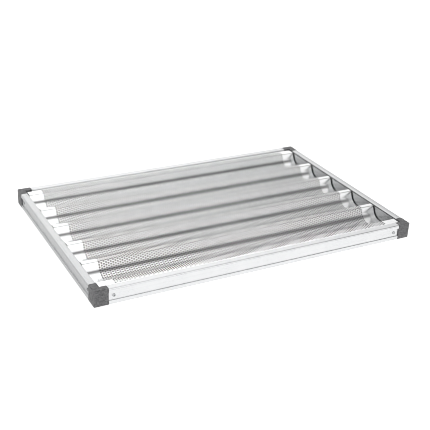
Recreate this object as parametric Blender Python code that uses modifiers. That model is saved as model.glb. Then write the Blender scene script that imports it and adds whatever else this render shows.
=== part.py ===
"""Baguette tray: a corrugated baking sheet in a frame of four aluminium rails.

Plastic corner pieces join the rails. Each has two spigots that push into the hollow rails,
where a blind rivet locks them. All four rails are cut from one extrusion, with a slot near the
top and a flange near the bottom of its inner face. The sheet's long margins sit in the slots of
the front and back rails, and its troughs rest on the flanges of the left and right rails.

The origin is the middle of the footprint, on the surface that the tray stands on.
+X is the tray's length (along the troughs), +Y its width, +Z is up. Units are metres.
"""
import math

import bmesh
import bpy
from mathutils import Matrix, Vector

# Frame
TRAY_LENGTH = 0.600          # outside, along the troughs
TRAY_WIDTH = 0.400           # outside, across the troughs
RAIL_HEIGHT = 0.028
RAIL_WIDTH = 0.012
RAIL_WALL = 0.0015           # wall of the hollow extrusion
CHANNEL_DEPTH = 0.0018       # shallow recess along each rail's outer face
CHANNEL_HEIGHT = 0.0145
TOP_RADIUS = 0.0020          # rounded outer top edge
INNER_RADIUS = 0.0015        # rounded inner top edge
FOOT_CHAMFER = 0.0010        # outer bottom edge
SCORE = 0.0004               # fine line under the rounded outer edge

# Baking sheet
SHEET_THICKNESS = 0.0010
RIM = 0.0020                 # the rails stand this far above the crests
TROUGH_PITCH = 0.070
LEAST_MARGIN = 0.0120        # least flat strip in front of the first trough and behind the last
CREST_FLAT = 0.0064          # flat top between two troughs
WALL_ANGLE = math.radians(66)
BOTTOM_RADIUS = 0.100        # shallow middle of a trough
BEND_RADIUS = 0.020          # bend between the middle and the wall
CREST_RADIUS = 0.0022        # bend at the top of the wall
END_GAP = 0.0020             # between the sheet's ends and the short rails

# Joints between the pieces
CLEARANCE = 0.0003
SLOT_DEPTH = 0.0030          # slot for the sheet's margins
FLANGE_REACH = 0.0080        # flange for the trough ends
FLANGE_THICKNESS = 0.0015
FLANGE_HEIGHT = 0.0014       # from the surface under the tray to the flange

# Corner pieces
CORNER_LEG = 0.0240          # from the tray's corner to the end of each leg
CORNER_EDGE = 0.0008         # rounded edges
CORNER_OUTER_RADIUS = 0.0016
SPIGOT_LENGTH = 0.0170
SPIGOT_ROOT = 0.0030         # part of the spigot that is fused into the leg

# Blind rivets
RIVET_OFFSET = 0.0090        # from the end of the corner piece's leg
RIVET_HEAD_RADIUS = 0.0026
RIVET_HEAD_HEIGHT = 0.0011
RIVET_SHANK_RADIUS = 0.0014
RIVET_SKIN = 0.0017          # what is left of the spigot behind the shank
RIVET_BORE_RADIUS = 0.0009
RIVET_BORE_DEPTH = 0.0025
RIVET_SIDES = 20

# Worked out from the dimensions above
CREST_LEVEL = RAIL_HEIGHT - RIM
TROUGH_BOTTOM = FLANGE_HEIGHT + FLANGE_THICKNESS + CLEARANCE + SHEET_THICKNESS
TROUGH_DEPTH = CREST_LEVEL - TROUGH_BOTTOM
TROUGH_ROOM = TRAY_WIDTH - 2 * RAIL_WIDTH - 2 * LEAST_MARGIN
TROUGH_COUNT = int((TROUGH_ROOM + CREST_FLAT) / TROUGH_PITCH)
CHANNEL_BOTTOM = (RAIL_HEIGHT - CHANNEL_HEIGHT) / 2
CHANNEL_TOP = (RAIL_HEIGHT + CHANNEL_HEIGHT) / 2
SLOT_BOTTOM = CREST_LEVEL - SHEET_THICKNESS - CLEARANCE
SLOT_TOP = CREST_LEVEL + CLEARANCE
HOLLOW_BOTTOM = RAIL_WALL
HOLLOW_TOP = SLOT_BOTTOM - RAIL_WALL
HOLLOW_OUTER = CHANNEL_DEPTH + RAIL_WALL
HOLLOW_INNER = RAIL_WIDTH - RAIL_WALL
FLANGE_TOP = FLANGE_HEIGHT + FLANGE_THICKNESS
SHEET_HALF_LENGTH = TRAY_LENGTH / 2 - RAIL_WIDTH - END_GAP
SHEET_HALF_WIDTH = TRAY_WIDTH / 2 - RAIL_WIDTH + SLOT_DEPTH - CLEARANCE
SPIGOT_THICKNESS = HOLLOW_INNER - HOLLOW_OUTER - 2 * CLEARANCE
RIVET_INSET = CORNER_LEG + RIVET_OFFSET
RIVET_SHANK_LENGTH = RAIL_WALL + 2 * CLEARANCE + SPIGOT_THICKNESS - RIVET_SKIN

# Each side: its turn about Z from the front side, and its outer face's distance from the middle.
SIDES = {
    "front": (0, TRAY_WIDTH / 2, TRAY_LENGTH),
    "right": (90, TRAY_LENGTH / 2, TRAY_WIDTH),
    "back": (180, TRAY_WIDTH / 2, TRAY_LENGTH),
    "left": (270, TRAY_LENGTH / 2, TRAY_WIDTH),
}
CORNERS = {
    "front_left": (-1, -1),
    "front_right": (1, -1),
    "back_left": (-1, 1),
    "back_right": (1, 1),
}


# ---------------------------------------------------------------- scene helpers

def clear_scene():
    for item in list(bpy.data.objects):
        bpy.data.objects.remove(item, do_unlink=True)


def new_collection(name):
    collection = bpy.data.collections.new(name)
    bpy.context.scene.collection.children.link(collection)
    return collection


def make_material(name, colour, roughness, metallic):
    material = bpy.data.materials.new(name)
    material.use_nodes = True
    shader = material.node_tree.nodes["Principled BSDF"]
    shader.inputs["Base Color"].default_value = (*colour, 1.0)
    shader.inputs["Roughness"].default_value = roughness
    shader.inputs["Metallic"].default_value = metallic
    return material


def add_object(name, data, collection):
    item = bpy.data.objects.new(name, data)
    collection.objects.link(item)
    return item


def as_mesh_object(source, name, collection):
    """Replace a curve object with a welded mesh of its evaluated shape."""
    bpy.context.view_layer.update()
    evaluated = source.evaluated_get(bpy.context.evaluated_depsgraph_get())
    mesh = bpy.data.meshes.new_from_object(evaluated)
    welded = bmesh.new()
    welded.from_mesh(mesh)
    bmesh.ops.remove_doubles(welded, verts=welded.verts, dist=1e-6)
    bmesh.ops.recalc_face_normals(welded, faces=welded.faces)
    welded.to_mesh(mesh)
    welded.free()
    shade_round(mesh)
    item = add_object(name, mesh, collection)
    item.matrix_world = source.matrix_world
    bpy.data.objects.remove(source, do_unlink=True)
    return item


def shade_round(mesh):
    """Shade curved stretches smooth and keep the edges between flat faces sharp."""
    mesh.shade_smooth()
    mesh.set_sharp_from_angle(angle=math.radians(35))


def extruded_outline(name, outlines, length, collection, rim=0.0):
    """A solid with the given closed outlines in X and Y, centred on Z, with an optional rounded rim."""
    curve = bpy.data.curves.new(name, "CURVE")
    curve.dimensions = "2D"
    curve.fill_mode = "BOTH"
    curve.extrude = length / 2 - rim
    curve.bevel_depth = rim
    curve.bevel_resolution = 1
    curve.offset = -rim
    for outline in outlines:
        spline = curve.splines.new("POLY")
        spline.points.add(len(outline) - 1)
        for point, (x, y) in zip(spline.points, outline):
            point.co = (x, y, 0.0, 1.0)
        spline.use_cyclic_u = True
    return add_object(name, curve, collection)


def box(name, low, high, collection):
    mesh = bpy.data.meshes.new(name)
    shape = bmesh.new()
    bmesh.ops.create_cube(shape, size=1.0)
    low, high = Vector(low), Vector(high)
    centre = (low + high) / 2
    bmesh.ops.scale(shape, vec=high - low, verts=shape.verts)
    bmesh.ops.translate(shape, vec=centre, verts=shape.verts)
    shape.to_mesh(mesh)
    shape.free()
    return add_object(name, mesh, collection)


def rod(name, radius, length, matrix, collection):
    """A cylinder from the matrix's origin down its own Z axis."""
    mesh = bpy.data.meshes.new(name)
    shape = bmesh.new()
    bmesh.ops.create_cone(shape, cap_ends=True, segments=RIVET_SIDES,
                          radius1=radius, radius2=radius, depth=length)
    bmesh.ops.translate(shape, vec=(0, 0, -length / 2), verts=shape.verts)
    shape.to_mesh(mesh)
    shape.free()
    item = add_object(name, mesh, collection)
    item.matrix_world = matrix
    return item


def boolean(target, tool, operation):
    tool.hide_render = True
    tool.display_type = "WIRE"
    modifier = target.modifiers.new(tool.name, "BOOLEAN")
    modifier.object = tool
    modifier.operation = operation
    modifier.solver = "EXACT"


def arc(centre, radius, start, end, steps):
    """Points on an arc from one angle to another, in radians."""
    angles = (start + (end - start) * i / steps for i in range(steps + 1))
    return [(centre[0] + radius * math.cos(a), centre[1] + radius * math.sin(a)) for a in angles]


# ---------------------------------------------------------------- rails

def side_matrix(side):
    """The frame of one side: X along the rail, Y inward from the outer face, Z up."""
    turn, distance, _ = SIDES[side]
    return Matrix.Rotation(math.radians(turn), 4, "Z") @ Matrix.Translation((0, -distance, 0))


def rail_outline():
    """Outline of the extrusion: X inward from the outer face, Y up."""
    outer_arc = arc((TOP_RADIUS, RAIL_HEIGHT - TOP_RADIUS), TOP_RADIUS, math.pi, math.pi / 2, 4)
    inner_centre = (RAIL_WIDTH - INNER_RADIUS, RAIL_HEIGHT - INNER_RADIUS)
    inner_arc = arc(inner_centre, INNER_RADIUS, math.pi / 2, 0, 3)
    score_top = RAIL_HEIGHT - TOP_RADIUS - SCORE
    outer = [
        (FOOT_CHAMFER, 0), (0, FOOT_CHAMFER),
        (0, CHANNEL_BOTTOM), (CHANNEL_DEPTH, CHANNEL_BOTTOM),
        (CHANNEL_DEPTH, CHANNEL_TOP), (0, CHANNEL_TOP),
        (0, score_top - SCORE), (SCORE, score_top - SCORE), (SCORE, score_top), (0, score_top),
    ]
    slot = [
        (RAIL_WIDTH, SLOT_TOP), (RAIL_WIDTH - SLOT_DEPTH, SLOT_TOP),
        (RAIL_WIDTH - SLOT_DEPTH, SLOT_BOTTOM), (RAIL_WIDTH, SLOT_BOTTOM),
    ]
    flange_end = RAIL_WIDTH + FLANGE_REACH
    flange = [
        (RAIL_WIDTH, FLANGE_TOP), (flange_end, FLANGE_TOP),
        (flange_end, FLANGE_HEIGHT), (RAIL_WIDTH, FLANGE_HEIGHT),
    ]
    return outer + outer_arc + inner_arc + slot + flange + [(RAIL_WIDTH, 0)]


def hollow_outline():
    return [
        (HOLLOW_OUTER, HOLLOW_BOTTOM), (HOLLOW_INNER, HOLLOW_BOTTOM),
        (HOLLOW_INNER, HOLLOW_TOP), (HOLLOW_OUTER, HOLLOW_TOP),
    ]


def make_rail(side, material, parts, cutters):
    length = SIDES[side][2] - 2 * (CORNER_LEG + CLEARANCE)
    name = side + "_rail"
    rail = extruded_outline(name + "_outline", [rail_outline(), hollow_outline()], length, parts)
    # The outline's X points inward, its Y points up, and it is extruded along the rail.
    section_to_side = Matrix(((0, 0, 1, 0), (1, 0, 0, 0), (0, 1, 0, 0), (0, 0, 0, 1)))
    rail.matrix_world = side_matrix(side) @ section_to_side
    rail = as_mesh_object(rail, name, parts)
    for end in (-1, 1):
        hole = rod(f"{name}_hole_{end}", RIVET_SHANK_RADIUS + CLEARANCE, RAIL_WALL + 2 * CLEARANCE,
                   rivet_matrix(side, end) @ Matrix.Translation((0, 0, CLEARANCE)), cutters)
        boolean(rail, hole, "DIFFERENCE")
    rail.data.materials.append(material)
    return rail


# ---------------------------------------------------------------- corner pieces

def rounded_outline(points, radii, steps=3):
    """A closed outline with each corner rounded by its own radius."""
    outline = []
    count = len(points)
    for index, radius in enumerate(radii):
        corner = Vector(points[index])
        before = (Vector(points[index - 1]) - corner).normalized()
        after = (Vector(points[(index + 1) % count]) - corner).normalized()
        if radius == 0:
            outline.append(tuple(corner))
            continue
        centre = corner + (before + after) * radius
        for i in range(steps + 1):
            turn = math.pi / 2 * i / steps
            offset = -after * math.cos(turn) - before * math.sin(turn)
            outline.append(tuple(centre + offset * radius))
    return outline


def corner_outline(sign_x, sign_y):
    """The L shape of one corner piece, rounded where it shows."""
    x, y = sign_x * TRAY_LENGTH / 2, sign_y * TRAY_WIDTH / 2
    leg_x, leg_y = x - sign_x * CORNER_LEG, y - sign_y * CORNER_LEG
    in_x, in_y = x - sign_x * RAIL_WIDTH, y - sign_y * RAIL_WIDTH
    points = [(x, y), (leg_x, y), (leg_x, in_y), (in_x, in_y), (in_x, leg_y), (x, leg_y)]
    edge = CORNER_EDGE / 2
    return rounded_outline(points, [CORNER_OUTER_RADIUS, edge, edge, 0, edge, edge])


def spigot_box(side, end, collection):
    """The stub that fills the hollow of a rail's end."""
    reach = SIDES[side][2] / 2 - CORNER_LEG
    near, far = reach + SPIGOT_ROOT, reach - SPIGOT_LENGTH
    low_x, high_x = sorted((end * near, end * far))
    spigot = box(f"spigot_{side}_{end}",
                 (low_x, HOLLOW_OUTER + CLEARANCE, HOLLOW_BOTTOM + CLEARANCE),
                 (high_x, HOLLOW_INNER - CLEARANCE, HOLLOW_TOP - CLEARANCE), collection)
    spigot.matrix_world = side_matrix(side)
    return spigot


def make_corner(name, material, parts, cutters):
    sign_x, sign_y = CORNERS[name]
    corner = extruded_outline(name + "_outline", [corner_outline(sign_x, sign_y)], RAIL_HEIGHT, parts,
                              rim=CORNER_EDGE)
    corner.location.z = RAIL_HEIGHT / 2
    corner = as_mesh_object(corner, "corner_" + name, parts)

    for side, end in corner_rail_ends(sign_x, sign_y):
        boolean(corner, spigot_box(side, end, cutters), "UNION")
        into_spigot = Matrix.Translation((0, 0, CLEARANCE))
        hole = rod(f"{corner.name}_hole_{side}", RIVET_SHANK_RADIUS + CLEARANCE,
                   RIVET_SHANK_LENGTH + 2 * CLEARANCE, rivet_matrix(side, end) @ into_spigot, cutters)
        boolean(corner, hole, "DIFFERENCE")

    # The slot for the sheet's margin carries on from the long rail into this piece's leg.
    slot_start = SHEET_HALF_LENGTH + CLEARANCE
    slot_end = TRAY_LENGTH / 2 - CORNER_LEG - CLEARANCE
    slot_back = TRAY_WIDTH / 2 - RAIL_WIDTH + SLOT_DEPTH
    slot_front = TRAY_WIDTH / 2 - RAIL_WIDTH - CLEARANCE
    x_ends = sorted((sign_x * slot_start, sign_x * slot_end))
    y_ends = sorted((sign_y * slot_back, sign_y * slot_front))
    slot = box(corner.name + "_slot", (x_ends[0], y_ends[0], SLOT_BOTTOM),
               (x_ends[1], y_ends[1], SLOT_TOP), cutters)
    boolean(corner, slot, "DIFFERENCE")
    corner.data.materials.append(material)
    return corner


def corner_rail_ends(sign_x, sign_y):
    """The two rails that meet at a corner, each with the end, in its own frame, that is there."""
    long_side = "front" if sign_y < 0 else "back"
    short_side = "left" if sign_x < 0 else "right"
    ends = []
    for side in (long_side, short_side):
        to_side = side_matrix(side).inverted()
        here = to_side @ Vector((sign_x * TRAY_LENGTH / 2, sign_y * TRAY_WIDTH / 2, 0))
        ends.append((side, 1 if here.x > 0 else -1))
    return ends


# ---------------------------------------------------------------- baking sheet

def trough_middle_angle():
    """The angle where the shallow middle of a trough meets the bend, so that the wall, at its own
    angle, ends at the crest: found by halving, because the wall's length follows from it."""
    half_width = (TROUGH_PITCH - CREST_FLAT) / 2

    def height_left(angle):
        wall = wall_length(angle, half_width)
        height = (BOTTOM_RADIUS * (1 - math.cos(angle))
                  + BEND_RADIUS * (math.cos(angle) - math.cos(WALL_ANGLE))
                  + wall * math.sin(WALL_ANGLE)
                  + CREST_RADIUS * (1 - math.cos(WALL_ANGLE)))
        return height - TROUGH_DEPTH

    low, high = 0.0, WALL_ANGLE
    for _ in range(60):
        middle = (low + high) / 2
        if height_left(middle) > 0:
            low = middle
        else:
            high = middle
    return (low + high) / 2


def wall_length(angle, half_width):
    across = (BOTTOM_RADIUS * math.sin(angle)
              + BEND_RADIUS * (math.sin(WALL_ANGLE) - math.sin(angle))
              + CREST_RADIUS * math.sin(WALL_ANGLE))
    return (half_width - across) / math.cos(WALL_ANGLE)


def half_trough():
    """The sheet's top surface from a trough's middle to the start of the crest's flat."""
    angle = trough_middle_angle()
    down = -math.pi / 2
    middle_centre = (0, TROUGH_BOTTOM + BOTTOM_RADIUS)
    middle = arc(middle_centre, BOTTOM_RADIUS, down, down + angle, 4)
    shift = BOTTOM_RADIUS - BEND_RADIUS
    bend_centre = (shift * math.sin(angle), middle_centre[1] - shift * math.cos(angle))
    bend = arc(bend_centre, BEND_RADIUS, down + angle, down + WALL_ANGLE, 6)
    flat_start = (TROUGH_PITCH - CREST_FLAT) / 2
    crest_centre = (flat_start, CREST_LEVEL - CREST_RADIUS)
    crest = arc(crest_centre, CREST_RADIUS, math.pi / 2 + WALL_ANGLE, math.pi / 2, 4)
    return middle + bend[1:] + crest


def sheet_profile():
    """The sheet's top surface across the tray, as (y, z) points from front to back."""
    half = half_trough()
    trough = [(-y, z) for y, z in reversed(half)] + half[1:]
    profile = [(-SHEET_HALF_WIDTH, CREST_LEVEL)]
    for index in range(TROUGH_COUNT):
        centre = (index - (TROUGH_COUNT - 1) / 2) * TROUGH_PITCH
        profile += [(centre + y, z) for y, z in trough]
    profile.append((SHEET_HALF_WIDTH, CREST_LEVEL))
    return profile


def make_sheet(material, parts):
    """The profile drawn out along X and thickened downwards."""
    mesh = bpy.data.meshes.new("baking_sheet")
    shape = bmesh.new()
    line = [shape.verts.new((-SHEET_HALF_LENGTH, y, z)) for y, z in sheet_profile()]
    edges = [shape.edges.new(pair) for pair in zip(line, line[1:])]
    drawn = bmesh.ops.extrude_edge_only(shape, edges=edges)
    moved = [v for v in drawn["geom"] if isinstance(v, bmesh.types.BMVert)]
    bmesh.ops.translate(shape, vec=(2 * SHEET_HALF_LENGTH, 0, 0), verts=moved)
    bmesh.ops.recalc_face_normals(shape, faces=shape.faces)
    if sum(face.normal.z for face in shape.faces) < 0:
        bmesh.ops.reverse_faces(shape, faces=shape.faces)
    shape.to_mesh(mesh)
    shape.free()
    sheet = add_object("baking_sheet", mesh, parts)
    mesh.shade_smooth()
    thicken = sheet.modifiers.new("thickness", "SOLIDIFY")
    thicken.thickness = SHEET_THICKNESS
    thicken.offset = -1.0
    thicken.use_even_offset = True
    mesh.materials.append(material)
    return sheet


# ---------------------------------------------------------------- rivets

def rivet_matrix(side, end):
    """A rivet's frame: its origin on the floor of the rail's channel, Z pointing out of the tray."""
    along = end * (SIDES[side][2] / 2 - RIVET_INSET)
    place = Matrix.Translation((along, CHANNEL_DEPTH, RAIL_HEIGHT / 2))
    return side_matrix(side) @ place @ Matrix.Rotation(math.radians(90), 4, "X")


def rivet_profile():
    """Half section of a blind rivet, from the bottom of its bore, over the head, to the shank's end."""
    seat = CLEARANCE
    top = seat + RIVET_HEAD_HEIGHT
    edge = RIVET_HEAD_HEIGHT * 0.35
    return [
        (0, top - RIVET_BORE_DEPTH), (RIVET_BORE_RADIUS, top - RIVET_BORE_DEPTH),
        (RIVET_BORE_RADIUS, top),
        (RIVET_HEAD_RADIUS * 0.60, top), (RIVET_HEAD_RADIUS * 0.85, top - edge / 2),
        (RIVET_HEAD_RADIUS, seat + edge), (RIVET_HEAD_RADIUS, seat),
        (RIVET_SHANK_RADIUS, seat), (RIVET_SHANK_RADIUS, seat - RIVET_SHANK_LENGTH),
        (0, seat - RIVET_SHANK_LENGTH),
    ]


def make_rivet(name, side, end, material, parts):
    mesh = bpy.data.meshes.new(name)
    shape = bmesh.new()
    line = [shape.verts.new((x, 0, z)) for x, z in rivet_profile()]
    for pair in zip(line, line[1:]):
        shape.edges.new(pair)
    shape.to_mesh(mesh)
    shape.free()
    rivet = add_object(name, mesh, parts)
    rivet.matrix_world = rivet_matrix(side, end)
    turn = rivet.modifiers.new("turn", "SCREW")
    turn.steps = RIVET_SIDES
    turn.render_steps = RIVET_SIDES
    turn.use_merge_vertices = True
    turn.merge_threshold = 1e-5
    mesh.materials.append(material)
    return rivet


# ---------------------------------------------------------------- assembly

def main():
    clear_scene()
    parts = new_collection("baguette_tray")
    cutters = new_collection("cutters")
    rail_metal = make_material("rail_aluminium", (0.86, 0.87, 0.88), 0.28, 1.0)
    sheet_metal = make_material("sheet_aluminium", (0.80, 0.81, 0.82), 0.24, 1.0)
    plastic = make_material("corner_plastic", (0.10, 0.10, 0.105), 0.55, 0.0)
    rivet_metal = make_material("rivet_aluminium", (0.70, 0.71, 0.72), 0.38, 1.0)

    for side in SIDES:
        make_rail(side, rail_metal, parts, cutters)
    for name in CORNERS:
        make_corner(name, plastic, parts, cutters)
    make_sheet(sheet_metal, parts)
    for name, signs in CORNERS.items():
        for side, end in corner_rail_ends(*signs):
            make_rivet(f"rivet_{name}_{side}_rail", side, end, rivet_metal, parts)


main()
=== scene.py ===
"""Looks of the baguette tray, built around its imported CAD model.

The baking sheet is made again with its perforation. The rails, corner pieces and rivets are made
again with finely rounded edges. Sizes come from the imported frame, or repeat the design's own, or
belong to what is added here: holes, shallow rings and small edge radii. Units are metres.
"""
import math

import bmesh
import bpy
import numpy as np
from mathutils import Matrix, Vector


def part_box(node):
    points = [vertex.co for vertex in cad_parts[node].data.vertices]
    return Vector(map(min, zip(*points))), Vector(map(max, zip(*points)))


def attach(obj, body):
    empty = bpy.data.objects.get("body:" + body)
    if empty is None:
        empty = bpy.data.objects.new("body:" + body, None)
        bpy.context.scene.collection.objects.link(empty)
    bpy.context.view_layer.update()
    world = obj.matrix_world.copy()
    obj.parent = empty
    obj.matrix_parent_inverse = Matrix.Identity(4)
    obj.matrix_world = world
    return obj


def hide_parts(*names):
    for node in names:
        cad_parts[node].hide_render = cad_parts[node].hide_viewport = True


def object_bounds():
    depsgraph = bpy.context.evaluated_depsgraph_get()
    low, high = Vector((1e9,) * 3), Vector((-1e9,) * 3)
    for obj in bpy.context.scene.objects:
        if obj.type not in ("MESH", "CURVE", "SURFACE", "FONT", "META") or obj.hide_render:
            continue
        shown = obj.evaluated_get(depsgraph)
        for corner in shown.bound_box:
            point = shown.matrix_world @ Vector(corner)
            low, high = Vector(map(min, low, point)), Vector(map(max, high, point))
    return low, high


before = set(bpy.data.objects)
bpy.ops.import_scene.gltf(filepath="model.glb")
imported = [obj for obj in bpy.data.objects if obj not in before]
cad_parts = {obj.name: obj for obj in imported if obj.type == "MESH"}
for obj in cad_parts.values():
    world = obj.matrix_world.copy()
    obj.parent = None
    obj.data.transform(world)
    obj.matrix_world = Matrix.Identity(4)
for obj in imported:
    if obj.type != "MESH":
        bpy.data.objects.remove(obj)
CAD_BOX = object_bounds()

# ---------------------------------------------------------------- sizes

SHEET_LOW, SHEET_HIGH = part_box("baking_sheet")
RAIL_LOW, RAIL_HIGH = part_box("front_rail")
TRAY_LENGTH = CAD_BOX[1][0] - CAD_BOX[0][0]
TRAY_WIDTH = CAD_BOX[1][1] - CAD_BOX[0][1]
RAIL_HEIGHT = RAIL_HIGH.z - RAIL_LOW.z
FLANGE_REACH = 0.0080         # from the rail's inner face
RAIL_WIDTH = RAIL_HIGH.y - RAIL_LOW.y - FLANGE_REACH
RAIL_WALL = 0.0015
CHANNEL_DEPTH = 0.0018        # recess along the outer face
CHANNEL_HEIGHT = 0.0145
TOP_RADIUS = 0.0020           # outer top edge
INNER_RADIUS = 0.0015         # inner top edge
FOOT_CHAMFER = 0.0010         # outer bottom edge
SCORE = 0.0004                # fine line under the outer top edge
RAIL_EDGE = 0.00025           # small radius on the extrusion's other edges
FINE_EDGE = RAIL_EDGE / 3     # and where even that is too large

CLEARANCE = 0.0003
SHEET_THICKNESS = 0.0010
CREST_LEVEL = SHEET_HIGH.z
TROUGH_COUNT = 5
TROUGH_PITCH = 0.070
TROUGH_BOTTOM = SHEET_LOW.z + SHEET_THICKNESS
CREST_FLAT = 0.0064           # flat top between two troughs
WALL_ANGLE = math.radians(66)
BOTTOM_RADIUS = 0.100         # shallow middle of a trough
BEND_RADIUS = 0.020           # bend between the middle and the wall
CREST_RADIUS = 0.0022         # bend at the top of the wall
SLOT_DEPTH = 0.0030           # slot for the sheet's margins
FLANGE_THICKNESS = 0.0015
FLANGE_HEIGHT = 0.0014        # from the tray's underside

# Perforation: holes in columns across the tray, every other column half a step further along
HOLE_RADIUS = 0.0014
HOLE_SIDES = 12
COLUMN_STEP = 0.0040          # between columns, along the troughs
HOLE_STEP = 0.0044            # between the holes of a column, along the curved sheet
PLAIN_ENDS = 0.0260           # strip without holes at each end of the sheet
PLAIN_MARGIN = 0.0060         # and along each of its long edges
SHEET_PARTS = 6               # lengths that the sheet's mesh is split into
GENTLE_BEND = 30              # curvature, in 1/m, above which a half step is split in two
TIGHT_BEND = 100              # and in three
STRAIGHT = 1e-9               # curvature below which a stretch counts as straight
HALVINGS = 60                 # of the range that holds the trough's middle angle

CORNER_LEG = 0.0240           # from the tray's corner to the end of each leg
CORNER_EDGE = 0.0008
CORNER_OUTER_RADIUS = 0.0016
SPIGOT_LENGTH = 0.0170
SPIGOT_ROOT = 0.0030          # part of the spigot that is fused into the leg
RING_INNER = 0.0058           # radii of the shallow ring in the corner pieces
RING_OUTER = 0.0070
RING_DEPTH = 0.00025
RING_SIDES = 64

RIVET_OFFSET = 0.0090         # from the end of the corner piece's leg
RIVET_HEAD_RADIUS = 0.0026
RIVET_HEAD_HEIGHT = 0.0011
RIVET_RIM_SHARE = 0.35        # share of the head's height that its rim has
RIVET_LIP_SHARE = 0.15        # share of the bore's radius that the lip round it has
RIVET_DOME_STEPS = 6
RIVET_SHANK_RADIUS = 0.0014
RIVET_SKIN = 0.0017           # what is left of the spigot behind the shank
RIVET_BORE_RADIUS = 0.0009
RIVET_BORE_DEPTH = 0.0025
RIVET_SIDES = 48
RIVET_HOLE_SIDES = 32

ARC_STEPS = 4                 # along each rounded corner of an outline
WELD_DISTANCE = 1e-6
SHARP_ANGLE = math.radians(38)

CHANNEL_BOTTOM = (RAIL_HEIGHT - CHANNEL_HEIGHT) / 2
CHANNEL_TOP = (RAIL_HEIGHT + CHANNEL_HEIGHT) / 2
SLOT_BOTTOM = CREST_LEVEL - SHEET_THICKNESS - CLEARANCE
SLOT_TOP = CREST_LEVEL + CLEARANCE
HOLLOW_BOTTOM = RAIL_WALL
HOLLOW_TOP = SLOT_BOTTOM - RAIL_WALL
HOLLOW_OUTER = CHANNEL_DEPTH + RAIL_WALL
HOLLOW_INNER = RAIL_WIDTH - RAIL_WALL
FLANGE_TOP = FLANGE_HEIGHT + FLANGE_THICKNESS
SPIGOT_THICKNESS = HOLLOW_INNER - HOLLOW_OUTER - 2 * CLEARANCE
RIVET_INSET = CORNER_LEG + RIVET_OFFSET
RIVET_SHANK_LENGTH = RAIL_WALL + 2 * CLEARANCE + SPIGOT_THICKNESS - RIVET_SKIN

SIDES = {
    "front": (0, TRAY_WIDTH / 2, TRAY_LENGTH),
    "right": (90, TRAY_LENGTH / 2, TRAY_WIDTH),
    "back": (180, TRAY_WIDTH / 2, TRAY_LENGTH),
    "left": (270, TRAY_LENGTH / 2, TRAY_WIDTH),
}
CORNERS = {
    "front_left": (-1, -1),
    "front_right": (1, -1),
    "back_left": (-1, 1),
    "back_right": (1, 1),
}

# Studio: angles in degrees, places in metres
CAMERA_AZIMUTH = -29.0
CAMERA_ELEVATION = 26.0
CAMERA_ROLL = 2.9
CAMERA_PLACE = (-0.6819, -1.2496, 0.7042)
LENS = 72.3                   # millimetres, as is the sensor's width
SENSOR = 36.0
NEAR_LIMIT = 0.01
FRONT_FADE = (0.45, 0.95)     # cosines to straight ahead between which the front band fades in
FLOOR_REACH = 60.0
FLOOR_DROP = 0.0004           # from the tray's underside
SHADE_SHEET_DROP = 0.0002            # from there too

VISIBLE = bpy.context.scene.collection
CUTTERS = bpy.data.collections.new("cutters")
VISIBLE.children.link(CUTTERS)


# ---------------------------------------------------------------- materials

MIDDLE = (0.3, 0.7)           # where most values of a noise lie


def math_node(tree, operation, first, second):
    """The result of a Math node, whose inputs are numbers or other nodes' outputs."""
    node = tree.nodes.new("ShaderNodeMath")
    node.operation = operation
    for socket, value in zip(node.inputs, (first, second)):
        if isinstance(value, (int, float)):
            socket.default_value = value
        else:
            tree.links.new(value, socket)
    return node.outputs["Value"]


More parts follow.
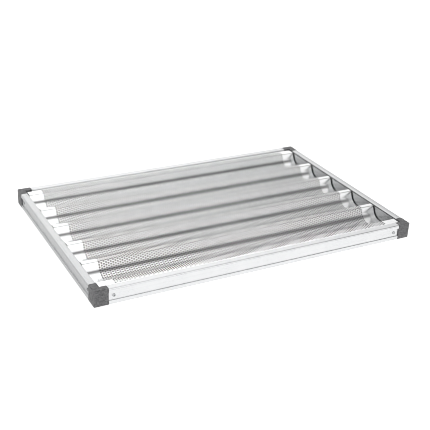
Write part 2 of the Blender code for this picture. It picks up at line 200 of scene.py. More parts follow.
class Shader:
    """A Principled material with a few short ways to add noise, ramps and bump."""

    def __init__(self, name, colour, roughness, metallic):
        self.material = bpy.data.materials.new(name)
        self.material.use_nodes = True
        self.tree = self.material.node_tree
        self.surface = self.tree.nodes["Principled BSDF"]
        self.surface.inputs["Base Color"].default_value = (*colour, 1)
        self.surface.inputs["Roughness"].default_value = roughness
        self.surface.inputs["Metallic"].default_value = metallic
        self.coordinates = self.tree.nodes.new("ShaderNodeTexCoord").outputs["Object"]

    def link(self, output, socket):
        self.tree.links.new(output, socket)

    def attribute(self, name):
        node = self.tree.nodes.new("ShaderNodeAttribute")
        node.attribute_name = name
        return node.outputs["Fac"]

    def noise(self, scale, detail, distortion=0.0):
        """Noise with its own frequency, in cycles a metre, along each axis."""
        mapping = self.tree.nodes.new("ShaderNodeMapping")
        mapping.inputs["Scale"].default_value = scale
        texture = self.tree.nodes.new("ShaderNodeTexNoise")
        texture.inputs["Scale"].default_value = 1.0
        texture.inputs["Detail"].default_value = detail
        texture.inputs["Roughness"].default_value = 0.55
        texture.inputs["Distortion"].default_value = distortion
        self.link(self.coordinates, mapping.inputs["Vector"])
        self.link(mapping.outputs["Vector"], texture.inputs["Vector"])
        return texture.outputs["Fac"]

    def span(self, value, low, high, from_low=0.0, from_high=1.0):
        """The value carried from one range to another."""
        node = self.tree.nodes.new("ShaderNodeMapRange")
        node.inputs["From Min"].default_value = from_low
        node.inputs["From Max"].default_value = from_high
        node.inputs["To Min"].default_value = low
        node.inputs["To Max"].default_value = high
        self.link(value, node.inputs["Value"])
        return node.outputs["Result"]

    def math(self, operation, first, second):
        return math_node(self.tree, operation, first, second)

    def looking_up(self):
        """1 on faces that look up, 0 on upright ones and on those that look down."""
        geometry = self.tree.nodes.new("ShaderNodeNewGeometry")
        split = self.tree.nodes.new("ShaderNodeSeparateXYZ")
        self.link(geometry.outputs["Normal"], split.inputs[0])
        return self.span(split.outputs["Z"], 0, 1, 0.2, 0.7)

    def blend(self, amount, first, second):
        """A colour between two colours, each a fixed one or another node's."""
        node = self.tree.nodes.new("ShaderNodeMix")
        node.data_type = "RGBA"
        self.link(amount, node.inputs[0])
        for socket, colour in ((node.inputs[6], first), (node.inputs[7], second)):
            if isinstance(colour, (tuple, list)):
                socket.default_value = (*colour, 1)
            else:
                self.link(colour, socket)
        return node.outputs[2]

    def mix_of(self, *parts):
        """The sum of values, each given with its weight."""
        total = None
        for value, weight in parts:
            weighted = self.math("MULTIPLY", value, weight)
            total = weighted if total is None else self.math("ADD", total, weighted)
        return total

    def bump(self, height, distance, strength, below=None):
        node = self.tree.nodes.new("ShaderNodeBump")
        node.inputs["Distance"].default_value = distance
        node.inputs["Strength"].default_value = strength
        self.link(height, node.inputs["Height"])
        if below is not None:
            self.link(below, node.inputs["Normal"])
        return node.outputs["Normal"]

    def finish(self, colour=None, roughness=None, normal=None):
        for value, name in ((colour, "Base Color"), (roughness, "Roughness"), (normal, "Normal")):
            if value is not None:
                self.link(value, self.surface.inputs[name])
        return self.material


def along(axis, slow, fast):
    """Noise frequencies that are low along one axis and high across it."""
    return tuple(slow if name == axis else fast for name in "xyz")


def extruded_aluminium(name, axis, painted_top_shade, painted_side_shade):
    """Mill-finish extrusion: die lines along its length, faint stains and handling marks.

    Painted shade: the top factor scales the colour of the faces that look up, the side factor that of the
    upright ones.
    """
    shader = Shader(name, (0.86, 0.87, 0.88), 0.3, 1.0)
    lines = shader.noise(along(axis, 3.0, 1400.0), detail=3.0)
    bands = shader.noise(along(axis, 1.5, 260.0), detail=2.0)
    stains = shader.noise((26.0, 26.0, 26.0), detail=6.0, distortion=0.4)
    grain = shader.mix_of((lines, 0.6), (bands, 0.4))
    worn = shader.mix_of((grain, 0.6), (stains, 0.4))
    colours = []
    for level in (painted_side_shade, painted_top_shade):
        dull, bright = ([value * level for value in shade]
                        for shade in ((0.76, 0.77, 0.78), (0.88, 0.885, 0.89)))
        colours.append(shader.blend(shader.span(worn, 0, 1, *MIDDLE), dull, bright))
    # Painted shade: faces that look up and upright faces get differently darkened copies of the colour.
    colour = shader.blend(shader.looking_up(), *colours)
    roughness = shader.span(worn, 0.20, 0.40, *MIDDLE)
    dents = shader.noise((90.0, 90.0, 90.0), detail=2.0)
    low = shader.bump(dents, 0.00012, 0.35)
    normal = shader.bump(grain, 0.00003, 0.6, below=low)
    return shader.finish(colour, roughness, normal)


def rolled_sheet():
    """Bright rolled sheet: fine lines along the troughs, soft haze, and painted shade that darkens the
    walls of its holes.
    """
    shader = Shader("rolled_sheet_aluminium", (0.84, 0.845, 0.85), 0.25, 1.0)
    lines = shader.noise((5.0, 1700.0, 1700.0), detail=3.0)
    haze = shader.noise((9.0, 34.0, 34.0), detail=5.0, distortion=0.3)
    specks = shader.noise((420.0, 420.0, 420.0), detail=2.0)
    mixed = shader.mix_of((lines, 0.45), (haze, 0.4), (specks, 0.15))
    colour = shader.blend(shader.span(mixed, 0, 1, *MIDDLE), (0.82, 0.825, 0.83), (0.95, 0.953, 0.955))
    # Painted shade: near black on the holes' walls, fading out over a thin rim round each hole; it also
    # roughens them.
    painted_hole_shade_mask = shader.span(shader.attribute("hole_edge"), 0, 1, 0.75, 0.95)
    colour = shader.blend(painted_hole_shade_mask, colour, (0.03, 0.03, 0.03))
    roughness = shader.math("ADD", shader.span(mixed, 0.12, 0.26, *MIDDLE),
                            shader.math("MULTIPLY", painted_hole_shade_mask, 0.3))
    waves = shader.noise((14.0, 55.0, 55.0), detail=1.0)
    low = shader.bump(waves, 0.0003, 0.3)
    normal = shader.bump(lines, 0.00002, 0.5, below=low)
    return shader.finish(colour, roughness, normal)


def moulded_plastic():
    """Dark glass-filled nylon: mottled grain with paler scuffs."""
    shader = Shader("corner_plastic_moulded", (0.10, 0.10, 0.105), 0.5, 0.0)
    mottle = shader.noise((380.0, 380.0, 380.0), detail=6.0)
    scuffs = shader.noise((120.0, 160.0, 900.0), detail=4.0, distortion=1.2)
    mixed = shader.mix_of((mottle, 0.55), (scuffs, 0.45))
    pale = shader.span(mixed, 0, 1, 0.35, 0.68)
    colour = shader.blend(pale, (0.035, 0.035, 0.037), (0.20, 0.20, 0.205))
    roughness = shader.span(mixed, 0.42, 0.66, *MIDDLE)
    grain = shader.noise((5200.0, 5200.0, 5200.0), detail=2.0)
    low = shader.bump(mottle, 0.00010, 0.35)
    normal = shader.bump(grain, 0.00004, 0.6, below=low)
    return shader.finish(colour, roughness, normal)


def rivet_aluminium():
    """Dull pressed aluminium with fine spots."""
    shader = Shader("rivet_pressed_aluminium", (0.55, 0.56, 0.57), 0.4, 1.0)
    spots = shader.noise((1500.0, 1500.0, 1500.0), detail=5.0)
    colour = shader.blend(shader.span(spots, 0, 1, 0.35, 0.65), (0.34, 0.345, 0.35), (0.70, 0.71, 0.72))
    roughness = shader.span(spots, 0.30, 0.52, *MIDDLE)
    normal = shader.bump(spots, 0.00005, 0.5)
    return shader.finish(colour, roughness, normal)


def pale_floor():
    """A light table: pale, with a glow of its own, so that the tray stands on even white."""
    shader = Shader("pale_floor", (0.3, 0.3, 0.3), 0.6, 0.0)
    shader.surface.inputs["Emission Color"].default_value = (1, 1, 1, 1)
    shader.surface.inputs["Emission Strength"].default_value = 0.85
    cloud = shader.noise((3.0, 3.0, 3.0), detail=3.0)
    colour = shader.blend(shader.span(cloud, 0, 1, *MIDDLE), (0.29, 0.29, 0.29), (0.31, 0.31, 0.31))
    return shader.finish(colour, shader.span(cloud, 0.65, 0.75))


def painted_shade_sheet():
    """Painted shade: a near-black matt sheet standing for the shade under the tray, faintly uneven."""
    shader = Shader("painted_shade_sheet", (0.02, 0.02, 0.02), 0.9, 0.0)
    cloud = shader.noise((40.0, 40.0, 40.0), detail=3.0)
    uneven = shader.span(cloud, 0, 1, *MIDDLE)
    return shader.finish(shader.blend(uneven, (0.015, 0.015, 0.015), (0.025, 0.025, 0.025)))


# ---------------------------------------------------------------- mesh helpers

def add_object(name, data, collection=VISIBLE):
    item = bpy.data.objects.new(name, data)
    collection.objects.link(item)
    return item


def show(piece, material, slot, *nodes):
    """Finish a piece: its material, the body it rides on and the nodes it stands for; its slot is not
    used.
    """
    piece.data.materials.clear()
    piece.data.materials.append(material)
    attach(piece, "root")
    if nodes:
        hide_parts(*nodes)


def shade_round(mesh):
    mesh.shade_smooth()
    mesh.set_sharp_from_angle(angle=SHARP_ANGLE)


def applied(item, name):
    """A new mesh object in world space with the item's modifiers applied; the item is removed."""
    bpy.context.view_layer.update()
    evaluated = item.evaluated_get(bpy.context.evaluated_depsgraph_get())
    mesh = bpy.data.meshes.new_from_object(evaluated)
    mesh.transform(item.matrix_world)
    welded = bmesh.new()
    welded.from_mesh(mesh)
    bmesh.ops.remove_doubles(welded, verts=welded.verts, dist=WELD_DISTANCE)
    bmesh.ops.recalc_face_normals(welded, faces=welded.faces)
    welded.to_mesh(mesh)
    welded.free()
    bpy.data.objects.remove(item, do_unlink=True)
    return add_object(name, mesh)


def extruded_outline(name, outlines, length, matrix, rim=0.0):
    """A solid with closed outlines in X and Y, centred on Z, its end edges rounded by the rim."""
    curve = bpy.data.curves.new(name, "CURVE")
    curve.dimensions = "2D"
    curve.fill_mode = "BOTH"
    curve.extrude = length / 2 - rim
    curve.bevel_depth = rim
    curve.bevel_resolution = 2
    curve.offset = -rim
    for outline in outlines:
        spline = curve.splines.new("POLY")
        spline.points.add(len(outline) - 1)
        for point, (x, y) in zip(spline.points, outline):
            point.co = (x, y, 0.0, 1.0)
        spline.use_cyclic_u = True
    item = add_object(name + "_outline", curve)
    item.matrix_world = matrix
    return applied(item, name)


def rounded(corners):
    """A closed outline from (x, y, radius) corners, each rounded by an arc of its own radius."""
    outline = []
    for index, (x, y, radius) in enumerate(corners):
        corner = Vector((x, y))
        before = (Vector(corners[index - 1][:2]) - corner).normalized()
        after = (Vector(corners[(index + 1) % len(corners)][:2]) - corner).normalized()
        half = before.angle(after) / 2
        centre = corner + (before + after).normalized() * (radius / math.sin(half))
        start = corner + before * (radius / math.tan(half)) - centre
        turn = start.angle_signed(corner + after * (radius / math.tan(half)) - centre)
        for i in range(ARC_STEPS + 1):
            spoke = Matrix.Rotation(-turn * i / ARC_STEPS, 2) @ start
            outline.append(tuple(centre + spoke))
    return outline


def box(name, low, high, matrix=Matrix.Identity(4)):
    """A block between two corners, as a tool for a cut or a union."""
    mesh = bpy.data.meshes.new(name)
    shape = bmesh.new()
    bmesh.ops.create_cube(shape, size=1.0)
    low, high = Vector(low), Vector(high)
    bmesh.ops.scale(shape, vec=high - low, verts=shape.verts)
    bmesh.ops.translate(shape, vec=(low + high) / 2, verts=shape.verts)
    shape.to_mesh(mesh)
    shape.free()
    item = add_object(name, mesh, CUTTERS)
    item.matrix_world = matrix
    return item


def turned(name, profile, matrix, sides, collection=VISIBLE, closed=False):
    """A solid of revolution about Z from (radius, height) points.

    They start and end on the axis, or go round a closed loop beside it.
    """
    mesh = bpy.data.meshes.new(name)
    shape = bmesh.new()
    line = [shape.verts.new((x, 0, z)) for x, z in profile]
    for pair in zip(line, line[1:] + line[:1] if closed else line[1:]):
        shape.edges.new(pair)
    shape.to_mesh(mesh)
    shape.free()
    item = add_object(name + "_profile", mesh, collection)
    item.matrix_world = matrix
    turn = item.modifiers.new("turn", "SCREW")
    turn.steps = sides
    turn.render_steps = sides
    turn.use_merge_vertices = True
    turn.merge_threshold = WELD_DISTANCE
    return item


def cut(target, tool, operation="DIFFERENCE"):
    """Apply a boolean with a tool and remove the tool."""
    modifier = target.modifiers.new(tool.name, "BOOLEAN")
    modifier.object = tool
    modifier.operation = operation
    modifier.solver = "EXACT"
    bpy.context.view_layer.update()
    evaluated = target.evaluated_get(bpy.context.evaluated_depsgraph_get())
    mesh = bpy.data.meshes.new_from_object(evaluated)
    target.modifiers.clear()
    target.data = mesh
    bpy.data.objects.remove(tool, do_unlink=True)


# ---------------------------------------------------------------- rails

def side_matrix(side):
    """The frame of one side: X along the rail, Y inward from the outer face, Z up."""
    turn, distance, _ = SIDES[side]
    return Matrix.Rotation(math.radians(turn), 4, "Z") @ Matrix.Translation((0, -distance, 0))


def outward_matrix(side, end, inset, depth):
    """A frame on a side, an inset from its end and a depth below its outer face, with Z outward."""
    place = Matrix.Translation((end * (SIDES[side][2] / 2 - inset), depth, RAIL_HEIGHT / 2))
    return side_matrix(side) @ place @ Matrix.Rotation(math.radians(90), 4, "X")


def rivet_matrix(side, end):
    """A rivet's frame: its origin on the floor of the rail's channel."""
    return outward_matrix(side, end, RIVET_INSET, CHANNEL_DEPTH)


def rivet_hole(name, side, end, depth):
    """A tool that cuts the hole for a rivet's shank, to a depth below the channel's floor."""
    radius = RIVET_SHANK_RADIUS + CLEARANCE
    profile = [(0, CLEARANCE), (radius, CLEARANCE), (radius, -depth), (0, -depth)]
    return turned(name, profile, rivet_matrix(side, end), RIVET_HOLE_SIDES, CUTTERS)


def rail_outline():
    """Outline of the extrusion: X inward from the outer face, Y up, with a radius at each corner."""
    edge, fine = RAIL_EDGE, FINE_EDGE
    score_top = RAIL_HEIGHT - TOP_RADIUS - SCORE
    outer = [
        (FOOT_CHAMFER, 0, edge), (0, FOOT_CHAMFER, edge),
        (0, CHANNEL_BOTTOM, edge), (CHANNEL_DEPTH, CHANNEL_BOTTOM, edge),
        (CHANNEL_DEPTH, CHANNEL_TOP, edge), (0, CHANNEL_TOP, edge),
        (0, score_top - SCORE, fine), (SCORE, score_top - SCORE, fine),
        (SCORE, score_top, fine), (0, score_top, fine),
        (0, RAIL_HEIGHT, TOP_RADIUS), (RAIL_WIDTH, RAIL_HEIGHT, INNER_RADIUS),
    ]
    slot = [
        (RAIL_WIDTH, SLOT_TOP, fine), (RAIL_WIDTH - SLOT_DEPTH, SLOT_TOP, fine),
        (RAIL_WIDTH - SLOT_DEPTH, SLOT_BOTTOM, fine), (RAIL_WIDTH, SLOT_BOTTOM, edge),
    ]
    flange_end = RAIL_WIDTH + FLANGE_REACH
    flange = [
        (RAIL_WIDTH, FLANGE_TOP, edge), (flange_end, FLANGE_TOP, edge),
        (flange_end, FLANGE_HEIGHT, edge), (RAIL_WIDTH, FLANGE_HEIGHT, edge),
    ]
    return rounded(outer + slot + flange + [(RAIL_WIDTH, 0, edge)])


def hollow_outline():
    """Outline of the extrusion's hollow, in the same axes."""
    return [
        (HOLLOW_OUTER, HOLLOW_BOTTOM), (HOLLOW_INNER, HOLLOW_BOTTOM),
        (HOLLOW_INNER, HOLLOW_TOP), (HOLLOW_OUTER, HOLLOW_TOP),
    ]


def make_rail(side, material):
    length = SIDES[side][2] - 2 * (CORNER_LEG + CLEARANCE)
    section_to_side = Matrix(((0, 0, 1, 0), (1, 0, 0, 0), (0, 1, 0, 0), (0, 0, 0, 1)))
    rail = extruded_outline(side + "_rail_extrusion", [rail_outline(), hollow_outline()], length,
                            side_matrix(side) @ section_to_side)
    for end in (-1, 1):
        cut(rail, rivet_hole(f"{side}_hole_{end}", side, end, RAIL_WALL + CLEARANCE))
    shade_round(rail.data)
    show(rail, material, "rail_aluminium", side + "_rail")


# ---------------------------------------------------------------- corner pieces

def corner_rail_ends(sign_x, sign_y):
    """The two rails that meet at a corner, each with the end, in its own frame, that is there."""
    ends = []
    for side in ("front" if sign_y < 0 else "back", "left" if sign_x < 0 else "right"):
        to_side = side_matrix(side).inverted()
        here = to_side @ Vector((sign_x * TRAY_LENGTH / 2, sign_y * TRAY_WIDTH / 2, 0))
        ends.append((side, 1 if here.x > 0 else -1))
    return ends


def corner_outline(sign_x, sign_y):
    """The L shape of one corner piece."""
    x, y = sign_x * TRAY_LENGTH / 2, sign_y * TRAY_WIDTH / 2
    leg_x, leg_y = x - sign_x * CORNER_LEG, y - sign_y * CORNER_LEG
    in_x, in_y = x - sign_x * RAIL_WIDTH, y - sign_y * RAIL_WIDTH
    edge = CORNER_EDGE / 2
    return rounded([(x, y, CORNER_OUTER_RADIUS), (leg_x, y, edge), (leg_x, in_y, edge),
                    (in_x, in_y, edge), (in_x, leg_y, edge), (x, leg_y, edge)])


def spigot(side, end):
    """The stub that fills the hollow of a rail's end."""
    reach = SIDES[side][2] / 2 - CORNER_LEG
    low_x, high_x = sorted((end * (reach + SPIGOT_ROOT), end * (reach - SPIGOT_LENGTH)))
    return box(f"spigot_{side}_{end}",
               (low_x, HOLLOW_OUTER + CLEARANCE, HOLLOW_BOTTOM + CLEARANCE),
               (high_x, HOLLOW_INNER - CLEARANCE, HOLLOW_TOP - CLEARANCE), side_matrix(side))


def face_ring(side, end):
    """A tool that cuts a shallow ring into the outer face of a corner piece's leg."""
    above = 2 * RING_DEPTH
    loop = [(RING_INNER, -RING_DEPTH), (RING_OUTER, -RING_DEPTH), (RING_OUTER, above), (RING_INNER, above)]
    name = f"ring_{side}_{end}"
    place = outward_matrix(side, end, CORNER_LEG / 2, 0)
    return applied(turned(name, loop, place, RING_SIDES, CUTTERS, closed=True), name)


def corner_slot(name, sign_x, sign_y):
    """A tool that carries the rail's slot on into the corner piece, for the sheet's margin."""
    inner_face = TRAY_WIDTH / 2 - RAIL_WIDTH
    xs = sorted((sign_x * (SHEET_HIGH.x + CLEARANCE),
                 sign_x * (TRAY_LENGTH / 2 - CORNER_LEG - CLEARANCE)))
    ys = sorted((sign_y * (inner_face + SLOT_DEPTH), sign_y * (inner_face - CLEARANCE)))
    return box(f"{name}_slot", (xs[0], ys[0], SLOT_BOTTOM), (xs[1], ys[1], SLOT_TOP))


def make_corner(name, material):
    sign_x, sign_y = CORNERS[name]
    corner = extruded_outline(f"corner_{name}_moulding", [corner_outline(sign_x, sign_y)], RAIL_HEIGHT,
                              Matrix.Translation((0, 0, RAIL_HEIGHT / 2)), rim=CORNER_EDGE)
    for side, end in corner_rail_ends(sign_x, sign_y):
        cut(corner, face_ring(side, end))
        cut(corner, spigot(side, end), "UNION")
        cut(corner, rivet_hole(f"{name}_hole_{side}", side, end, RIVET_SHANK_LENGTH))
    cut(corner, corner_slot(name, sign_x, sign_y))
    shade_round(corner.data)
    show(corner, material, "corner_plastic", "corner_" + name)


# ---------------------------------------------------------------- rivets

def rivet_profile():
    """Half section of a blind rivet, from the bottom of its bore, over the domed head, to its end."""
    seat = CLEARANCE
    top = seat + RIVET_HEAD_HEIGHT
    rim = seat + RIVET_HEAD_HEIGHT * RIVET_RIM_SHARE
    lip = RIVET_BORE_RADIUS * RIVET_LIP_SHARE
    crown = RIVET_BORE_RADIUS + lip
    dome = []
    for i in range(RIVET_DOME_STEPS + 1):
        angle = math.radians(90) * i / RIVET_DOME_STEPS
        radius = crown + (RIVET_HEAD_RADIUS - crown) * math.sin(angle)
        dome.append((radius, rim + (top - rim) * math.cos(angle)))
    return [
        (0, top - RIVET_BORE_DEPTH), (RIVET_BORE_RADIUS, top - RIVET_BORE_DEPTH),
        (RIVET_BORE_RADIUS, top - lip), *dome,
        (RIVET_HEAD_RADIUS, seat), (RIVET_SHANK_RADIUS, seat),
        (RIVET_SHANK_RADIUS, seat - RIVET_SHANK_LENGTH), (0, seat - RIVET_SHANK_LENGTH),
    ]


def make_rivet(corner, side, end, material):
    node = f"rivet_{corner}_{side}_rail"
    solid = turned(node, rivet_profile(), rivet_matrix(side, end), RIVET_SIDES)
    rivet = applied(solid, node + "_head")
    shade_round(rivet.data)
    show(rivet, material, "rivet_aluminium", node)


# ---------------------------------------------------------------- baking sheet

def stretch_end(y, z, angle, length, bend):
    """Where a line, or an arc of curvature bend, arrives after a length."""
    straight = np.abs(bend) < STRAIGHT
    safe = np.where(straight, 1.0, bend)
    turned_to = angle + bend * length
    over_y = np.where(straight, np.cos(angle) * length, (np.sin(turned_to) - np.sin(angle)) / safe)
    over_z = np.where(straight, np.sin(angle) * length, (np.cos(angle) - np.cos(turned_to)) / safe)
    return y + over_y, z + over_z, turned_to


def trough_middle_angle(half_width):
    """The angle at which a trough's shallow middle meets its bend, found by halving."""
    depth = CREST_LEVEL - TROUGH_BOTTOM
    low, high = 0.0, WALL_ANGLE
    for _ in range(HALVINGS):
        angle = (low + high) / 2
        height = (BOTTOM_RADIUS * (1 - math.cos(angle))
                  + BEND_RADIUS * (math.cos(angle) - math.cos(WALL_ANGLE))
                  + wall_length(angle, half_width) * math.sin(WALL_ANGLE)
                  + CREST_RADIUS * (1 - math.cos(WALL_ANGLE)))
        low, high = (angle, high) if height > depth else (low, angle)
    return angle


def wall_length(angle, half_width):
    """The straight stretch of a trough's wall that fills what the bends leave of its half width."""
    across = (BOTTOM_RADIUS * math.sin(angle)
              + BEND_RADIUS * (math.sin(WALL_ANGLE) - math.sin(angle))
              + CREST_RADIUS * math.sin(WALL_ANGLE))
    return (half_width - across) / math.cos(WALL_ANGLE)


def sheet_chain():
    """The sheet's top surface, front to back, as stretches of (length, curvature)."""
    half_width = (TROUGH_PITCH - CREST_FLAT) / 2
    angle = trough_middle_angle(half_width)
    down = [(CREST_RADIUS * WALL_ANGLE, -1 / CREST_RADIUS), (wall_length(angle, half_width), 0.0),
            (BEND_RADIUS * (WALL_ANGLE - angle), 1 / BEND_RADIUS)]
    trough = down + [(2 * BOTTOM_RADIUS * angle, 1 / BOTTOM_RADIUS)] + down[::-1]
    margin = SHEET_HIGH.y - (TROUGH_COUNT * TROUGH_PITCH - CREST_FLAT) / 2
    chain = [(margin, 0.0)]
    for index in range(TROUGH_COUNT):
        chain += trough
        chain.append((CREST_FLAT if index < TROUGH_COUNT - 1 else margin, 0.0))
    return chain


class SheetSurface:
    """The sheet's top surface as a function of the distance along it from its front edge."""

    def __init__(self):
        self.chain = sheet_chain()
        lengths = np.array([length for length, _ in self.chain])
        self.bends = np.array([bend for _, bend in self.chain])
        self.starts = np.concatenate(([0.0], np.cumsum(lengths)[:-1]))
        self.total = lengths.sum()
        place = (SHEET_LOW.y, CREST_LEVEL, 0.0)
        self.places = []
        for length, bend in self.chain:
            self.places.append(place)
            place = stretch_end(*place, length, bend)
        self.places = np.array(self.places)

    def at(self, distance):
        """Points (y, z) and slope angles at an array of distances."""
        index = np.clip(np.searchsorted(self.starts, distance, side="right") - 1, 0, len(self.starts) - 1)
        y, z, angle = self.places[index].T
        return stretch_end(y, z, angle, distance - self.starts[index], self.bends[index])

    def bend_between(self, low, high):
        """The sheet's largest curvature between two distances."""
        ends = np.append(self.starts[1:], self.total)
        inside = (self.starts < high) & (ends > low)
        return np.abs(self.bends[inside]).max()


def sheet_rows(surface):
    """Distances of the mesh's rows, and which of them are the half steps of the hole pattern."""
    room = surface.total - 2 * PLAIN_MARGIN
    count = round(room / (HOLE_STEP / 2))
    half_step = room / count
    steps = PLAIN_MARGIN + half_step * np.arange(count + 1)
    rows, step_rows = [0.0], []
    for index, low in enumerate(steps):
        step_rows.append(len(rows))
        rows.append(low)
        if index < count:
            bend = surface.bend_between(low, low + half_step)
            pieces = 1 + int(bend > GENTLE_BEND) + int(bend > TIGHT_BEND)
            rows += [low + half_step * i / pieces for i in range(1, pieces)]
    rows.append(surface.total)
    return np.array(rows), step_rows


def stitch(outer, inner):
    """Triangles between two closed loops of 2D points round the same centre, both anticlockwise."""
    def angles(points):
        return np.unwrap(np.arctan2(points[:, 1], points[:, 0]))
    outer_angles = angles(outer)
    inner_angles = angles(inner)
    shift = int(np.argmin(np.abs((inner_angles - outer_angles[0] + math.pi) % (2 * math.pi) - math.pi)))
    order = (np.arange(len(inner)) + shift) % len(inner)
    inner_angles = angles(inner[order])
    inner_angles += round((outer_angles[0] - inner_angles[0]) / (2 * math.pi)) * 2 * math.pi
    outer_angles = np.append(outer_angles, outer_angles[0] + 2 * math.pi)
    inner_angles = np.append(inner_angles, inner_angles[0] + 2 * math.pi)
    triangles, i, j = [], 0, 0
    count_out, count_in = len(outer), len(inner)
    while i < count_out or j < count_in:
        here_out, here_in = i % count_out, count_out + order[j % count_in]
        if j == count_in or (i < count_out and outer_angles[i + 1] <= inner_angles[j + 1]):
            triangles.append((here_out, (i + 1) % count_out, here_in))
            i += 1
        else:
            triangles.append((here_out, count_out + order[(j + 1) % count_in], here_in))
            j += 1
    return np.array(triangles)


def hole_cells(rows, step_rows):
    """For both column parities: the cells with a hole, and the row gaps left plain.

    A cell is its loop of (column side, row) corners, its middle distance and its triangles.
    """
    circle_angles = 2 * math.pi * (np.arange(HOLE_SIDES) + 0.5) / HOLE_SIDES
    circle = HOLE_RADIUS * np.stack([np.cos(circle_angles), np.sin(circle_angles)], axis=1)
    layouts = []
    for parity in (0, 1):
        cells, plain = [], set(range(len(rows) - 1))
        for step in range(parity, len(step_rows) - 2, 2):
            low, high = step_rows[step], step_rows[step + 2]
            middle = rows[step_rows[step + 1]]
            loop = [(0, low), (1, low)] + [(1, r) for r in range(low + 1, high)]
            loop += [(1, high), (0, high)] + [(0, r) for r in range(high - 1, low, -1)]
            corners = np.array([((side - 0.5) * COLUMN_STEP, rows[r] - middle) for side, r in loop])
            cells.append((np.array(loop), middle, stitch(corners, circle)))
            plain -= set(range(low, high))
        layouts.append((cells, sorted(plain)))
    return layouts, circle


class FaceList:
    """Faces and their corner normals, gathered block by block."""

    def __init__(self):
        self.corners, self.sizes, self.normals = [], [], []

    def add(self, faces, normals):
        self.corners.append(faces.reshape(-1))
        self.sizes.append(np.full(len(faces), faces.shape[1]))
        self.normals.append(normals.reshape(-1, 3))

    def to_mesh(self, name, points):
        mesh = bpy.data.meshes.new(name)
        corners = np.concatenate(self.corners).astype(np.int32)
        sizes = np.concatenate(self.sizes)
        starts = np.concatenate(([0], np.cumsum(sizes)[:-1])).astype(np.int32)
        mesh.vertices.add(len(points))
        mesh.vertices.foreach_set("co", points.astype(np.float32).reshape(-1))
        mesh.loops.add(len(corners))
        mesh.loops.foreach_set("vertex_index", corners)
        mesh.polygons.add(len(sizes))
        mesh.polygons.foreach_set("loop_start", starts)
        mesh.update(calc_edges=True)
        mesh.shade_smooth()
        mesh.normals_split_custom_set(np.concatenate(self.normals).astype(np.float32))
        return mesh


def add_hole_walls(faces, holes, spoke, tangent, under):
    """The walls of the holes, between each ring of points on top and the one below it."""
    after = np.roll(holes, -1, axis=1)
    wall = np.stack([holes, after, after + under, holes + under], axis=2).reshape(-1, 4)
    inward = -(spoke[None, :, :1] * np.array([1.0, 0, 0]) + spoke[None, :, 1:] * tangent[holes])
    inward_after = np.roll(inward, -1, axis=1)
    faces.add(wall, np.stack([inward, inward_after, inward_after, inward], axis=2).reshape(-1, 4, 3))


def add_borders(faces, row_count, line_count, under):
    """The upright faces round the edge of a part's grid of points."""
    left = np.arange(row_count - 1)
    right = left + (line_count - 1) * row_count
    front = np.arange(line_count - 1) * row_count
    back = front + row_count - 1
    borders = [
        (left, left + 1, (-1, 0, 0)),
        (right + 1, right, (1, 0, 0)),
        (front + row_count, front, (0, -1, 0)),
        (back, back + row_count, (0, 1, 0)),
    ]
    for start, stop, normal in borders:
        block = np.stack([start, stop, stop + under, start + under], axis=1)
        faces.add(block, np.broadcast_to(np.array(normal, float), (len(block), 4, 3)))


def make_sheet_part(name, surface, rows, layouts, circle, lines, kinds):
    """One length of the sheet between its X lines. Each column's kind is a parity, or None if plain.

    Its points are the grid of lines and rows, then the holes' rings, then the same again below.
    """
    row_count, line_count = len(rows), len(lines)

    def corner_id(line, row):
        return line * row_count + row

    xs = [np.repeat(lines, row_count)]
    distances = [np.tile(rows, line_count)]
    top_faces, holes = [], []
    next_id = row_count * line_count
    for parity in (0, 1):
        columns = np.array([c for c, kind in enumerate(kinds) if kind == parity])
        middles = (lines[columns] + lines[columns + 1]) / 2
        for loop, middle, triangles in layouts[parity][0]:
            outer = corner_id(columns[:, None] + loop[None, :, 0], loop[None, :, 1])
            ring = next_id + np.arange(len(columns) * HOLE_SIDES).reshape(-1, HOLE_SIDES)
            next_id += ring.size
            xs.append((middles[:, None] + circle[None, :, 0]).reshape(-1))
            distances.append(np.broadcast_to(middle + circle[None, :, 1], ring.shape).reshape(-1))
            ids = np.concatenate([outer, ring], axis=1)
            top_faces.append(ids[:, triangles].reshape(-1, 3))
            holes.append(ring)
    quads = []
    for column, kind in enumerate(kinds):
        gaps = range(row_count - 1) if kind is None else layouts[kind][1]
        low = np.array(list(gaps))
        quads.append(np.stack([corner_id(column, low), corner_id(column + 1, low),
                               corner_id(column + 1, low + 1), corner_id(column, low + 1)], axis=1))
    holes = np.concatenate(holes)

    y, z, angle = surface.at(np.concatenate(distances))
    zero = np.zeros_like(angle)
    up = np.stack([zero, -np.sin(angle), np.cos(angle)], axis=1)
    tangent = np.stack([zero, np.cos(angle), np.sin(angle)], axis=1)
    top = np.stack([np.concatenate(xs), y, z], axis=1)
    under = len(top)

    faces = FaceList()
    for block in top_faces + [np.concatenate(quads)]:
        faces.add(block, up[block])
        faces.add(block[:, ::-1] + under, -up[block[:, ::-1]])
    add_hole_walls(faces, holes, circle / HOLE_RADIUS, tangent, under)
    add_borders(faces, row_count, line_count, under)
    points = np.concatenate([top, top - up * SHEET_THICKNESS])
    mesh = faces.to_mesh(name, points)
    # The mask for the painted shade in the holes: 1 on the rings of the holes' walls, 0 elsewhere.
    edge = np.zeros(len(points), np.float32)
    edge[holes] = 1.0
    edge[holes + under] = 1.0
    mesh.attributes.new("hole_edge", "FLOAT", "POINT").data.foreach_set("value", edge)
    return add_object(name, mesh)


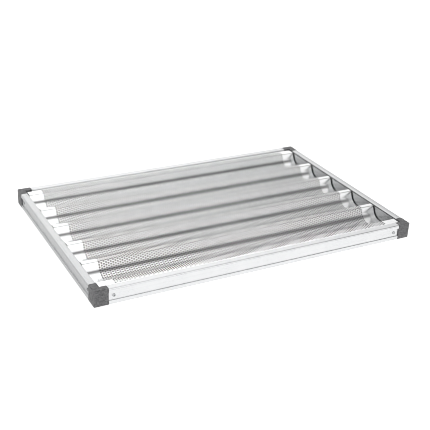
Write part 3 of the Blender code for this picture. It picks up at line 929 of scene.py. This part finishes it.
def make_sheet(material):
    """The perforated sheet, in lengths, with a plain column at each end."""
    surface = SheetSurface()
    rows, step_rows = sheet_rows(surface)
    layouts, circle = hole_cells(rows, step_rows)
    room = SHEET_HIGH.x - SHEET_LOW.x - 2 * PLAIN_ENDS
    count = int(room / COLUMN_STEP)
    first = -count * COLUMN_STEP / 2
    bounds = [round(count * i / SHEET_PARTS) for i in range(SHEET_PARTS + 1)]
    for index, (start, stop) in enumerate(zip(bounds, bounds[1:])):
        lines = [first + COLUMN_STEP * c for c in range(start, stop + 1)]
        kinds = [c % 2 for c in range(start, stop)]
        if index == 0:
            lines.insert(0, SHEET_LOW.x)
            kinds.insert(0, None)
        if index == SHEET_PARTS - 1:
            lines.append(SHEET_HIGH.x)
            kinds.append(None)
        part = make_sheet_part(f"perforated_sheet_{index + 1}", surface, rows, layouts, circle,
                               np.array(lines), kinds)
        show(part, material, "sheet_aluminium", "baking_sheet")


# ---------------------------------------------------------------- studio

def make_camera():
    """The view from the front left, a little above, with a slight roll."""
    roll = math.radians(CAMERA_ROLL)
    back = direction(180 - CAMERA_AZIMUTH, CAMERA_ELEVATION)
    level = Vector((0, 0, 1)).cross(back).normalized()
    upright = back.cross(level)
    right = math.cos(roll) * level + math.sin(roll) * upright
    up = -math.sin(roll) * level + math.cos(roll) * upright
    data = bpy.data.cameras.new("camera")
    data.lens = LENS
    data.sensor_width = SENSOR
    data.clip_start = NEAR_LIMIT
    camera = add_object("camera", data)
    matrix = Matrix((right, up, back)).transposed().to_4x4()
    matrix.translation = CAMERA_PLACE
    camera.matrix_world = matrix
    bpy.context.scene.camera = camera


def stage_plane(name, half_x, half_y, below, material):
    """A level rectangle of the set, just under the tray."""
    z = CAD_BOX[0][2] - below
    corners = [(-half_x, -half_y, z), (half_x, -half_y, z), (half_x, half_y, z), (-half_x, half_y, z)]
    mesh = bpy.data.meshes.new(name)
    mesh.from_pydata(corners, [], [(0, 1, 2, 3)])
    mesh.materials.append(material)
    add_object(name, mesh)


def make_floor():
    """The floor, and a near-black sheet of painted shade that the tray hides, so that no floor shines
    through its holes.
    """
    stage_plane("floor", FLOOR_REACH, FLOOR_REACH, FLOOR_DROP, pale_floor())
    inset = RAIL_WIDTH / 2
    # Painted shade: a near-black sheet under the tray in place of the shade beneath it.
    stage_plane("painted_shade_plane", TRAY_LENGTH / 2 - inset, TRAY_WIDTH / 2 - inset, SHADE_SHEET_DROP, painted_shade_sheet())


def direction(azimuth, elevation):
    """A unit vector; the azimuth counts from the back of the tray towards its right end."""
    azimuth, elevation = math.radians(azimuth), math.radians(elevation)
    return Vector((math.sin(azimuth) * math.cos(elevation), math.cos(azimuth) * math.cos(elevation),
                   math.sin(elevation)))


def soft_sun(name, azimuth, elevation, spread, strength):
    """Even light from far away, with soft shadows."""
    data = bpy.data.lights.new(name, "SUN")
    data.angle = math.radians(spread)
    data.energy = strength
    light = add_object(name, data)
    light.rotation_euler = direction(azimuth, elevation).to_track_quat("Z", "Y").to_euler()


class Sky:
    """A world of smooth glows on an even base."""

    def __init__(self, base):
        world = bpy.data.worlds.new("studio")
        world.use_nodes = True
        self.tree = world.node_tree
        self.coordinates = self.tree.nodes.new("ShaderNodeTexCoord").outputs["Generated"]
        self.base = base
        self.overhead = 0.0
        self.total = 0.0
        bpy.context.scene.world = world

    def combine(self, operation, first, second):
        return math_node(self.tree, operation, first, second)

    def fade(self, axis, edge, full, strength=1.0):
        """Rises from 0 to the strength as the cosine to an axis goes from edge to full."""
        dot = self.tree.nodes.new("ShaderNodeVectorMath")
        dot.operation = "DOT_PRODUCT"
        self.tree.links.new(self.coordinates, dot.inputs[0])
        dot.inputs[1].default_value = axis
        ramp = self.tree.nodes.new("ShaderNodeMapRange")
        ramp.interpolation_type = "SMOOTHSTEP"
        ramp.inputs["From Min"].default_value = edge
        ramp.inputs["From Max"].default_value = full
        ramp.inputs["To Max"].default_value = strength
        self.tree.links.new(dot.outputs["Value"], ramp.inputs["Value"])
        return ramp.outputs["Result"]

    def glow(self, azimuth, elevation, inner, outer, strength):
        """A round glow, even within the inner angle and gone at the outer one."""
        cosines = math.cos(math.radians(outer)), math.cos(math.radians(inner))
        self.overhead = self.combine("MAXIMUM", self.overhead,
                                     self.fade(direction(azimuth, elevation), *cosines, strength))

    def front_band(self, low, high, strength):
        """A band of light along the horizon in front, full below low and gone above high."""
        heights = math.sin(math.radians(-high)), math.sin(math.radians(-low))
        band = self.combine("MULTIPLY", self.fade((0, 0, -1), *heights, strength),
                            self.fade((0, -1, 0), *FRONT_FADE))
        self.total = self.combine("ADD", self.total, band)

    def finish(self):
        background = self.tree.nodes["Background"]
        background.inputs["Color"].default_value = (1, 1, 1, 1)
        self.total = self.combine("ADD", self.combine("ADD", self.total, self.base), self.overhead)
        self.tree.links.new(self.total, background.inputs["Strength"])


def make_lights():
    sky = Sky(base=0.22)
    sky.glow(azimuth=0, elevation=84, inner=20, outer=46, strength=1.15)
    sky.glow(azimuth=-4, elevation=36, inner=24, outer=62, strength=1.08)
    sky.front_band(30, 44, strength=1.15)
    sky.finish()
    soft_sun("key_light", azimuth=-140, elevation=48, spread=60, strength=0.6)
    bpy.context.scene.view_settings.view_transform = "Standard"
    bpy.context.scene.cycles.filter_width = 1.0


# ---------------------------------------------------------------- assembly

def main():
    # Painted shade: two copies of one aluminium; the short rails' copy is much darker, most on its upright
    # faces.
    long_metal = extruded_aluminium("long_rail_aluminium_painted_shade", "x", painted_top_shade=0.86, painted_side_shade=0.94)
    short_metal = extruded_aluminium("short_rail_aluminium_painted_shade", "y", painted_top_shade=0.72, painted_side_shade=0.50)
    for side in SIDES:
        make_rail(side, long_metal if side in ("front", "back") else short_metal)
    plastic = moulded_plastic()
    rivet_metal = rivet_aluminium()
    for name, signs in CORNERS.items():
        make_corner(name, plastic)
        for side, end in corner_rail_ends(*signs):
            make_rivet(name, side, end, rivet_metal)
    make_sheet(rolled_sheet())
    make_floor()
    make_lights()
    make_camera()


main()
